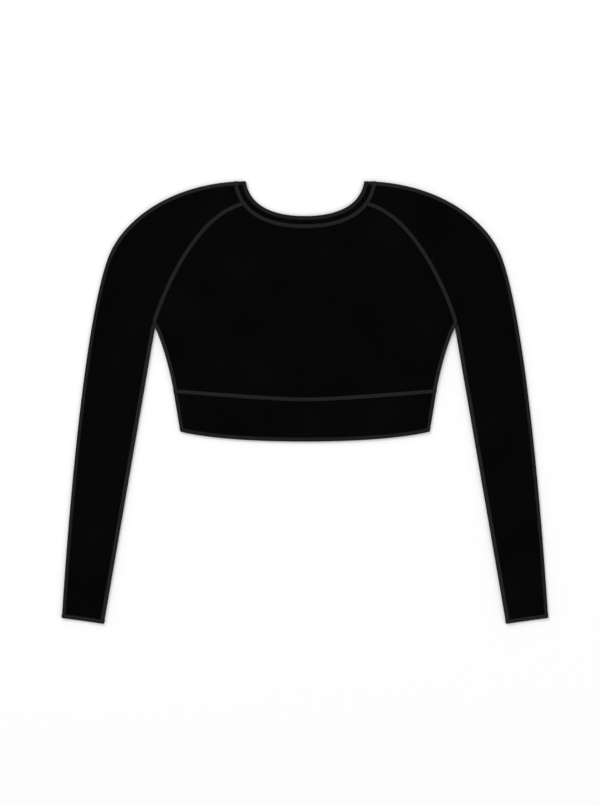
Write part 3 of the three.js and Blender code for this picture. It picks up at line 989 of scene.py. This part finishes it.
@dataclass(frozen=True)
class JerseyFinish:
    """Matt black stretch jersey. A charcoal painted highlight runs along its folded edges and openings,
    standing for both the light that the rolled edges catch and edge wear; the knit has painted shade in its
    grooves and painted light on its crowns.
    """

    name: str = "Black jersey"
    # Painted shade in the knit's grooves and painted light on its crowns.
    groove_painted_shade: tuple = (0.0002, 0.0002, 0.0002, 1.0)
    crown_painted_light: tuple = (0.0120, 0.0113, 0.0116, 1.0)
    # Colour of the painted highlight along the folded edges, which also stands for edge wear.
    edge_highlight_and_wear: tuple = (0.0190, 0.0155, 0.0162, 1.0)
    wale: float = 0.0008
    course: float = 0.0006
    knit_depth: float = 0.00016
    edge_highlight_and_wear_width: float = 0.0053
    deeper_at_openings: float = 0.0004
    roughness: float = 0.92
    specular: float = 0.02
    sheen: float = 0.005

    def build(self, groups: dict[str, bpy.types.NodeTree]) -> bpy.types.Material:
        """Return the material."""
        material, sheet = started(self.name)
        place = sheet.add("ShaderNodeTexCoord")
        side = sheet.add("ShaderNodeAttribute", {"attribute_name": "side_distance"})
        opening = sheet.add("ShaderNodeAttribute", {"attribute_name": "opening_distance"})
        knit = sheet.add("ShaderNodeGroup", {"node_tree": groups["knit"]}, Wale=self.wale, Course=self.course)
        sheet.set(knit.inputs["Flat cloth"], place.outputs["UV"])
        # The mask of the painted edge highlight, which also stands for edge wear.
        edge_highlight_and_wear = sheet.add("ShaderNodeGroup", {"node_tree": groups["edge_highlight_and_wear"]}, Width=self.edge_highlight_and_wear_width)
        from_opening = sheet.math("SUBTRACT", opening.outputs["Fac"], self.deeper_at_openings)
        sheet.set(edge_highlight_and_wear.inputs["Distance"], sheet.math("MINIMUM", side.outputs["Fac"], from_opening))
        sheet.set(edge_highlight_and_wear.inputs["Object"], place.outputs["Object"])
        fibre = sheet.add("ShaderNodeGroup", {"node_tree": groups["fibre"]})
        sheet.set(fibre.inputs["Object"], place.outputs["Object"])
        height = knit.outputs["Height"]
        # Painted shade in the knit's grooves and painted light on its crowns, with a random cloudy tone.
        peaks = sheet.math("MULTIPLY", height, height)
        body = sheet.mix(sheet.math("MULTIPLY", peaks, fibre.outputs["Cloud"]), self.groove_painted_shade, self.crown_painted_light)
        # Painted highlight along the folded edges and openings, also standing for edge wear, brighter on the
        # knit's crowns.
        highlight_and_wear_share = sheet.math("MULTIPLY", sheet.math("MULTIPLY_ADD", height, 1.1, 0.45), edge_highlight_and_wear.outputs["Mask"])
        highlight_and_wear_share = sheet.math("MULTIPLY", highlight_and_wear_share, sheet.math("MULTIPLY_ADD", fibre.outputs["Fine"], 0.5, 0.75))
        relief = sheet.math("MULTIPLY_ADD", fibre.outputs["Fine"], 0.35, height)
        bump = sheet.add("ShaderNodeBump", Strength=0.9, Distance=self.knit_depth, Height=relief)
        shader = sheet.add("ShaderNodeBsdfPrincipled", Roughness=self.roughness)
        sheet.set(shader.inputs["Normal"], bump.outputs["Normal"])
        sheet.set(shader.inputs["Base Color"], sheet.mix(highlight_and_wear_share, body, self.edge_highlight_and_wear))
        sheet.set(shader.inputs["Specular IOR Level"], self.specular)
        sheet.set(shader.inputs["Sheen Weight"], self.sheen)
        output = sheet.add("ShaderNodeOutputMaterial")
        sheet.set(output.inputs["Surface"], shader.outputs["BSDF"])
        return material


@dataclass(frozen=True)
class ThreadFinish:
    """Charcoal sewing thread."""

    name: str = "Charcoal thread"
    dark: tuple = (0.0120, 0.0098, 0.0103, 1.0)
    light: tuple = (0.0300, 0.0250, 0.0262, 1.0)
    fineness: float = 2600.0
    fibre_depth: float = 0.00006
    roughness: float = 0.8
    specular: float = 0.12

    def build(self, groups: dict[str, bpy.types.NodeTree]) -> bpy.types.Material:
        """Return the material."""
        material, sheet = started(self.name)
        place = sheet.add("ShaderNodeTexCoord")
        fibre = sheet.add("ShaderNodeGroup", {"node_tree": groups["fibre"]}, Fineness=self.fineness)
        sheet.set(fibre.inputs["Object"], place.outputs["Object"])
        fine = fibre.outputs["Fine"]
        bump = sheet.add("ShaderNodeBump", Strength=0.5, Distance=self.fibre_depth, Height=fine)
        shader = sheet.add("ShaderNodeBsdfPrincipled", Roughness=self.roughness)
        sheet.set(shader.inputs["Normal"], bump.outputs["Normal"])
        sheet.set(shader.inputs["Base Color"], sheet.mix(fine, self.dark, self.light))
        sheet.set(shader.inputs["Specular IOR Level"], self.specular)
        output = sheet.add("ShaderNodeOutputMaterial")
        sheet.set(output.inputs["Surface"], shader.outputs["BSDF"])
        return material


@dataclass(frozen=True)
class FloorFinish:
    """Plain pale studio floor."""

    name: str = "Pale floor"
    colour: tuple = (0.93, 0.93, 0.93, 1.0)
    roughness: float = 0.9
    specular: float = 0.1

    def build(self) -> bpy.types.Material:
        """Return the material."""
        material = bpy.data.materials.new(self.name)
        material.use_nodes = True
        shader = material.node_tree.nodes["Principled BSDF"]
        shader.inputs["Base Color"].default_value = self.colour
        shader.inputs["Roughness"].default_value = self.roughness
        shader.inputs["Specular IOR Level"].default_value = self.specular
        return material


@dataclass
class Path:
    """The middle line of a row of stitches, with the directions across it and out of the cloth."""

    places: np.ndarray
    sideways: np.ndarray
    outwards: np.ndarray
    ring: bool = False

    def mirrored(self) -> "Path":
        """Return the path on the other half of the garment."""
        return Path(mirrored(self.places), mirrored(self.sideways), mirrored(self.outwards), self.ring)

    def backwards(self) -> "Path":
        """Return the path in the other direction."""
        return Path(self.places[::-1], self.sideways[::-1], self.outwards[::-1], self.ring)


@dataclass
class SeamPaths:
    """Works out where the rows of stitches run.

    How long a path's outward directions are says how far its threads stand off the cloth. They stand
    highest on the front, and on the back and round the folds they are pressed into the cloth.
    """

    outline: Outline
    cloth: Cloth
    relief: Relief
    spacing: float = 0.002
    row_width: float = 0.0050
    edge_inset: float = 0.0030
    clearance: float = 0.001
    proud_on_back: float = 0.15
    proud_on_fold: float = 0.3
    overlap: float = 0.0006

    @property
    def row_reach(self) -> float:
        """How far a row of stitches along an edge reaches in from it."""
        return self.edge_inset + self.row_width / 2.0

    def flat(self, line: Line, start: float, end: float, layer: Layer, aside: float = 0.0) -> Path:
        """Follow a line that lies flat on one layer.

        Args:
            line: The line on the right half.
            start: How far along it the stitches start.
            end: How far along it they end.
            layer: The layer that they are on.
            aside: How far to the left of the line they run.

        Returns:
            The path.
        """
        distances = np.linspace(start, end, max(3, int(abs(end - start) / self.spacing)))
        places = line.at(distances, aside)
        if layer is Layer.FRONT:
            heights, out = self.relief.front(places, band=False) + self.clearance, UP
        else:
            heights, out = self.relief.back(places) - self.clearance, -self.proud_on_back * UP
        sideways = np.column_stack([line.left_of(distances), np.zeros(len(places))])
        return Path(np.column_stack([places, heights]), sideways, np.tile(out, (len(places), 1)))

    def turn(self, line: Line, at_end: bool) -> Path:
        """Follow a line round the folded edge where it starts or ends, from front to back."""
        radius = self.cloth.fold_radius
        distance, beside = (line.length, line.length - radius) if at_end else (0.0, radius)
        end = line.at(distance)
        inward = (line.at(beside) - end) / np.linalg.norm(line.at(beside) - end)
        angles = np.radians(np.linspace(60.0, -60.0, 5))[:, None]
        plan = end + inward * (radius - (radius + self.clearance) * np.cos(angles))
        heights = radius + (radius + self.clearance) * np.sin(angles)
        outwards = np.column_stack([-inward * np.cos(angles), np.sin(angles)])
        sideways = np.append(line.left_of(np.array(distance)), 0.0)
        places = np.column_stack([plan, heights])
        return Path(places, np.tile(sideways, (len(places), 1)), self.proud_on_fold * outwards)

    def ring_of(self, parts: list[Path]) -> Path:
        """Join paths end to end into a ring, without the places that two of them share."""
        places = np.concatenate([part.places for part in parts])
        kept = np.linalg.norm(places - np.roll(places, 1, axis=0), axis=1) > 0.1 * MM
        sideways = np.concatenate([part.sideways for part in parts])
        outwards = np.concatenate([part.outwards for part in parts])
        return Path(places[kept], sideways[kept], outwards[kept], ring=True)

    def round_body(self, seam: Line) -> Path:
        """Follow a seam of the right half, from its fold to the centre, all the way round the body."""
        radius = self.cloth.fold_radius
        over, under = (self.flat(seam, radius, seam.length, layer) for layer in (Layer.FRONT, Layer.BACK))
        turn = self.turn(seam, at_end=False)
        right = [over.backwards(), turn, under]
        left = [under.mirrored().backwards(), turn.mirrored().backwards(), over.mirrored()]
        return self.ring_of(right + left)

    def round_sleeve(self, line: Line) -> Path:
        """Follow a line across the sleeve's front, round its outer edge and back underneath."""
        radius = self.cloth.fold_radius
        ends = (radius, line.length - radius)
        over, under = (self.flat(line, *ends, layer) for layer in (Layer.FRONT, Layer.BACK))
        outer, inner = self.turn(line, at_end=True), self.turn(line, at_end=False)
        return self.ring_of([over, outer, under.backwards(), inner.backwards()])

    def cuff_line(self) -> Line:
        """Return the line of the cuff's stitches, a little inside its edge."""
        edge = self.outline.cuff_edge
        inner, outer = edge.at(np.array([0.0, edge.length]), self.edge_inset)
        return Line.straight(tuple(inner), tuple(outer))

    def under_line(self) -> Line:
        """Return the line up the sleeve's seam, round the underarm point and down the side."""
        shape, inset = self.outline, self.edge_inset
        sleeve, side = shape.underarm_seam, shape.side_edge
        up = sleeve.at(np.linspace(sleeve.length - self.row_reach, 0.0, 200), inset)
        side_end = shape.side_seam - self.row_width / 2.0 + self.overlap
        down = side.at(np.linspace(0.0, side_end, 100), -inset)
        pivot = np.array(shape.underarm)
        first, last = (math.atan2(*(end - pivot)[::-1]) for end in (up[-1], down[0]))
        turns = np.linspace(first, last, 14)[1:-1]
        corner = pivot + inset * np.column_stack([np.cos(turns), np.sin(turns)])
        return Line(np.concatenate([up, corner, down]))

    def arm(self) -> dict[str, list[Path]]:
        """Return the rows of stitches on the right half, by what they sew."""
        shape, beside_neck = self.outline, self.row_width / 2.0
        raglan, under = shape.raglan_seam, self.under_line()
        raglan_ends = (beside_neck, raglan.length - self.row_reach + self.overlap)
        dart_ends = (shape.neckband_width + beside_neck, shape.shoulder_edge.length)
        return {
            "raglan": [self.flat(raglan, *raglan_ends, layer) for layer in (Layer.FRONT, Layer.BACK)],
            "underarm": [self.flat(under, 0.0, under.length, Layer.FRONT)],
            "dart": [self.flat(shape.overarm, *dart_ends, Layer.FRONT, -self.edge_inset)],
            "cuff": [self.round_sleeve(self.cuff_line())],
        }

    def all(self) -> dict[str, list[Path]]:
        """Return the paths of every row of stitches, by the name of the piece of thread."""
        paths = {
            "neck_stitches": [self.round_body(self.outline.neck_seam)],
            "hem_stitches": [self.round_body(self.outline.hem_seam)],
        }
        for kind, rows in self.arm().items():
            paths[f"{kind}_stitches_left"] = rows
            paths[f"{kind}_stitches_right"] = [row.mirrored() for row in rows]
        return paths


@dataclass
class CoverStitch:
    """Rows of cover stitch, made by Geometry Nodes and laid on the cloth."""

    material: bpy.types.Material
    cloth: bpy.types.Object
    width: float = 0.0050
    stitch: float = 0.0020
    thread: float = 0.00055
    cuts: int = 3
    zigzag_share: float = 0.88

    def tree(self) -> bpy.types.NodeTree:
        """Build the tree that turns a path into threads that cross it and threads that run along it."""
        group = new_group(
            "Cover stitch",
            "GeometryNodeTree",
            {
                "Geometry": ("NodeSocketGeometry", None),
                "Cloth": ("NodeSocketObject", None),
                "Width": ("NodeSocketFloat", self.width),
                "Stitch": ("NodeSocketFloat", self.stitch),
                "Thread": ("NodeSocketFloat", self.thread),
                "Cuts": ("NodeSocketInt", self.cuts),
                "Material": ("NodeSocketMaterial", None),
            },
            {"Geometry": "NodeSocketGeometry"},
        )
        sheet = NodeSheet(group)
        source = sheet.add("NodeGroupInput")
        target = sheet.add("GeometryNodeObjectInfo", Object=source.outputs["Cloth"])
        middle = sheet.add("GeometryNodeMeshToCurve", Mesh=source.outputs["Geometry"])
        joined = sheet.add("GeometryNodeJoinGeometry")
        strands = [
            self.crossing(sheet, source, target, middle, sign) for sign in (1.0, -1.0)
        ] + [self.running(sheet, source, target, middle, share) for share in (-0.42, 0.0, 0.42)]
        for strand in strands:
            sheet.set(joined.inputs["Geometry"], strand)
        real = sheet.add("GeometryNodeRealizeInstances", Geometry=joined.outputs["Geometry"])
        dressed = sheet.add("GeometryNodeSetMaterial", Geometry=real.outputs["Geometry"])
        sheet.set(dressed.inputs["Material"], source.outputs["Material"])
        sink = sheet.add("NodeGroupOutput")
        sheet.set(sink.inputs["Geometry"], dressed.outputs["Geometry"])
        return group

    def direction(self, sheet: NodeSheet, name: str) -> bpy.types.NodeSocket:
        """Return a direction that is stored on the path."""
        node = sheet.add("GeometryNodeInputNamedAttribute", {"data_type": "FLOAT_VECTOR"}, Name=name)
        return node.outputs["Attribute"]

    def resampled(self, sheet: NodeSheet, curve: object, length: object) -> bpy.types.NodeSocket:
        """Return a curve with points at an even spacing."""
        node = sheet.add("GeometryNodeResampleCurve", {"mode": "LENGTH"}, Curve=curve, Length=length)
        return node.outputs["Curve"]

    def laid(self, sheet: NodeSheet, source: object, target: object, curve: object, lift: object) -> object:
        """Lay a curve on the cloth and give it its thickness.

        Args:
            sheet: The tree.
            source: The tree's input node.
            target: The node that holds the cloth.
            curve: The curve.
            lift: How far its middle is off the cloth, in thread thicknesses.

        Returns:
            The thread's geometry.
        """
        nearest = sheet.add("GeometryNodeProximity", Geometry=target.outputs["Geometry"])
        rise = sheet.math("MULTIPLY", source.outputs["Thread"], lift)
        out = sheet.vector("SCALE", self.direction(sheet, "outwards"), scale=rise)
        place = sheet.vector("ADD", nearest.outputs["Position"], out)
        moved = sheet.add("GeometryNodeSetPosition", Geometry=curve, Position=place)
        radius = sheet.math("MULTIPLY", source.outputs["Thread"], 0.5)
        profile = sheet.add("GeometryNodeCurvePrimitiveCircle", Resolution=5, Radius=radius)
        tube = sheet.add("GeometryNodeCurveToMesh", Curve=moved.outputs["Geometry"])
        sheet.set(tube.inputs["Profile Curve"], profile.outputs["Curve"])
        sheet.set(tube.inputs["Fill Caps"], True)
        smooth_tube = sheet.add("GeometryNodeSetShadeSmooth", Geometry=tube.outputs["Mesh"])
        return smooth_tube.outputs["Geometry"]

    def crossing(
        self, sheet: NodeSheet, source: object, target: object, middle: object, sign: float
    ) -> bpy.types.NodeSocket:
        """Add a thread that zigzags from one side of the path to the other."""
        half_stitch = sheet.math("MULTIPLY", source.outputs["Stitch"], 0.5)
        steps = self.resampled(sheet, middle.outputs["Curve"], half_stitch)
        index = sheet.add("GeometryNodeSplineParameter").outputs["Index"]
        parity = sheet.math("MODULO", index, 2.0)
        reach = sheet.math("MULTIPLY", source.outputs["Width"], self.zigzag_share)
        swing = sheet.math("MULTIPLY", sheet.math("SUBTRACT", parity, 0.5), reach)
        signed = sheet.math("MULTIPLY", swing, sign)
        offset = sheet.vector("SCALE", self.direction(sheet, "sideways"), scale=signed)
        swung = sheet.add("GeometryNodeSetPosition", Geometry=steps, Offset=offset)
        fine = sheet.add("GeometryNodeSubdivideCurve", Curve=swung.outputs["Geometry"])
        sheet.set(fine.inputs["Cuts"], source.outputs["Cuts"])
        return self.laid(sheet, source, target, fine.outputs["Curve"], 0.5 if sign > 0.0 else 0.85)

    def running(
        self, sheet: NodeSheet, source: object, target: object, middle: object, share: float
    ) -> bpy.types.NodeSocket:
        """Add a thread that runs along the path and dips into the cloth after each stitch."""
        quarter = sheet.math("MULTIPLY", source.outputs["Stitch"], 0.25)
        steps = self.resampled(sheet, middle.outputs["Curve"], quarter)
        aside = sheet.math("MULTIPLY", source.outputs["Width"], share)
        offset = sheet.vector("SCALE", self.direction(sheet, "sideways"), scale=aside)
        shifted = sheet.add("GeometryNodeSetPosition", Geometry=steps, Offset=offset)
        index = sheet.add("GeometryNodeSplineParameter").outputs["Index"]
        wave = sheet.math("ABSOLUTE", sheet.math("SINE", sheet.math("MULTIPLY", index, math.pi / 4.0)))
        lift = sheet.math("MULTIPLY_ADD", wave, 1.2, 0.15)
        return self.laid(sheet, source, target, shifted.outputs["Geometry"], lift)

    def path_object(self, name: str, paths: list[Path]) -> bpy.types.Object:
        """Return an object whose edges follow the paths and hold their directions."""
        points, edges, sideways, outwards = [], [], [], []
        for path in paths:
            first, count = len(points), len(path.places)
            points.extend(path.places.tolist())
            sideways.extend(path.sideways.tolist())
            outwards.extend(path.outwards.tolist())
            edges.extend((first + k, first + k + 1) for k in range(count - 1))
            if path.ring:
                edges.append((first + count - 1, first))
        data = bpy.data.meshes.new(name)
        data.from_pydata(points, edges, [])
        for label, values in (("sideways", sideways), ("outwards", outwards)):
            attribute = data.attributes.new(label, "FLOAT_VECTOR", "POINT")
            attribute.data.foreach_set("vector", np.array(values).ravel())
        piece = bpy.data.objects.new(name, data)
        bpy.context.scene.collection.objects.link(piece)
        return piece

    def sew(self, tree: bpy.types.NodeTree, name: str, paths: list[Path]) -> bpy.types.Object:
        """Sew one piece of thread.

        Args:
            tree: The cover stitch's tree.
            name: The piece's name.
            paths: Where its stitches run.

        Returns:
            The finished piece, a plain mesh.
        """
        guide = self.path_object(name + "_path", paths)
        modifier = guide.modifiers.new("Cover stitch", "NODES")
        modifier.node_group = tree
        sockets = {item.name: item.identifier for item in tree.interface.items_tree if item.in_out == "INPUT"}
        modifier[sockets["Cloth"]] = self.cloth
        modifier[sockets["Width"]] = self.width
        modifier[sockets["Stitch"]] = self.stitch
        modifier[sockets["Thread"]] = self.thread
        modifier[sockets["Cuts"]] = self.cuts
        modifier[sockets["Material"]] = self.material
        depsgraph = bpy.context.evaluated_depsgraph_get()
        data = bpy.data.meshes.new_from_object(guide.evaluated_get(depsgraph))
        guide.modifiers.remove(modifier)
        bpy.data.objects.remove(guide)
        piece = bpy.data.objects.new(name, data)
        data.name = name
        bpy.context.scene.collection.objects.link(piece)
        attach(piece, "root")
        log.info("%s: %d faces", name, len(data.polygons))
        return piece


@dataclass
class CropTop:
    """The whole garment."""

    outline: Outline = field(default_factory=Outline)
    cloth: Cloth = field(default_factory=Cloth)
    panel_cut: tuple = (0.400, 0.2605)
    sleeve_cut: tuple = (0.198, 0.700)
    neckband_cut: tuple = (0.489, 0.0138)
    hem_band_cut: tuple = (0.703, 0.0564)

    def build(self, groups: dict[str, bpy.types.NodeTree]) -> None:
        """Cut, place and sew every piece."""
        relief = Relief(self.outline, self.cloth)
        jersey = JerseyFinish().build(groups)
        folded = JerseyFinish(name="Folded jersey", wale=0.00085, course=0.00065).build(groups)
        single = {"outline": self.outline, "cloth": self.cloth, "relief": relief, "material": jersey}
        double = {**single, "material": folded}
        pieces = [
            Panel(**single, node="back", flat_size=self.panel_cut, layer=Layer.BACK),
            Panel(**single, node="front", flat_size=self.panel_cut, rests_on=("back_cloth",)),
            Sleeve(**single, node="sleeve_left", flat_size=self.sleeve_cut),
            Sleeve(**single, node="sleeve_right", flat_size=self.sleeve_cut, left_arm=False),
            Neckband(**double, node="neckband", flat_size=self.neckband_cut),
            HemBand(**double, node="hem_band", flat_size=self.hem_band_cut),
        ]
        built = [piece.build() for piece in pieces]
        thread = ThreadFinish().build(groups)
        under = self.joined(built)
        seams = SeamPaths(self.outline, self.cloth, relief)
        sewing = CoverStitch(thread, under, width=seams.row_width)
        tree = sewing.tree()
        for name, paths in seams.all().items():
            sewing.sew(tree, name, paths)
        bpy.data.objects.remove(under)

    def joined(self, pieces: list[bpy.types.Object]) -> bpy.types.Object:
        """Return one object with the points and faces of several pieces, for the stitches to lie on."""
        points: list = []
        faces: list = []
        for piece in pieces:
            first = len(points)
            points.extend(vertex.co[:] for vertex in piece.data.vertices)
            faces.extend([first + corner for corner in polygon.vertices] for polygon in piece.data.polygons)
        data = bpy.data.meshes.new("all_cloth")
        data.from_pydata(points, [], faces)
        whole = bpy.data.objects.new("all_cloth", data)
        bpy.context.scene.collection.objects.link(whole)
        return whole


@dataclass
class Studio:
    """The pale floor, the soft light and the camera straight above."""

    millimetres_per_pixel: float = 4.0 / 3.0
    picture: tuple = (600, 805)
    garment_centre: tuple = (305.0, 402.5)
    garment_top: float = 0.003
    lens: float = 100.0
    sensor: float = 36.0
    floor_size: float = 12.0

    def camera(self) -> None:
        """Place the camera so that the garment fills the picture as in the photograph."""
        height = self.picture[1] * self.millimetres_per_pixel * MM
        distance = height * self.lens / self.sensor
        across = (self.picture[0] / 2.0 - self.garment_centre[0]) * self.millimetres_per_pixel * MM
        up = (self.garment_centre[1] - self.picture[1] / 2.0) * self.millimetres_per_pixel * MM
        data = bpy.data.cameras.new("camera")
        data.lens = self.lens
        data.sensor_width = self.sensor
        data.clip_end = 50.0
        camera = bpy.data.objects.new("camera", data)
        camera.location = (across, up, distance + self.garment_top)
        bpy.context.scene.collection.objects.link(camera)
        bpy.context.scene.camera = camera

    def floor(self) -> None:
        """Lay the floor."""
        half = self.floor_size / 2.0
        corners = [(-half, -half, 0.0), (half, -half, 0.0), (half, half, 0.0), (-half, half, 0.0)]
        data = bpy.data.meshes.new("floor")
        data.from_pydata(corners, [], [(0, 1, 2, 3)])
        data.materials.append(FloorFinish().build())
        floor = bpy.data.objects.new("floor", data)
        bpy.context.scene.collection.objects.link(floor)

    def light(self, name: str, place: tuple, size: float, power: float) -> None:
        """Hang a square soft light that faces the garment."""
        data = bpy.data.lights.new(name, "AREA")
        data.shape = "SQUARE"
        data.size = size
        data.energy = power
        lamp = bpy.data.objects.new(name, data)
        facing = Vector(place).to_track_quat("Z", "Y").to_matrix().to_4x4()
        lamp.matrix_world = Matrix.Translation(place) @ facing
        bpy.context.scene.collection.objects.link(lamp)

    def build(self) -> None:
        """Set the scene."""
        self.floor()
        self.camera()
        self.light("key_light", (-1.6, 1.8, 2.4), 1.6, 42.0)
        self.light("fill_light", (2.0, -1.4, 2.2), 2.0, 18.0)
        world = bpy.data.worlds.new("Studio")
        world.use_nodes = True
        backdrop = world.node_tree.nodes["Background"]
        backdrop.inputs["Color"].default_value = (1.0, 1.0, 1.0, 1.0)
        backdrop.inputs["Strength"].default_value = 0.75
        bpy.context.scene.world = world
        bpy.context.scene.view_settings.view_transform = "Standard"


def main() -> None:
    """Build the garment and its setting."""
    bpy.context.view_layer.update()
    # The edge mask group paints a highlight along the folded edges, which also stands for edge wear.
    groups = {"knit": knit_group(), "edge_highlight_and_wear": edge_highlight_and_wear_group(), "fibre": lint_group()}
    Studio().build()
    CropTop().build(groups)


if __name__ == "__main__":
    main()
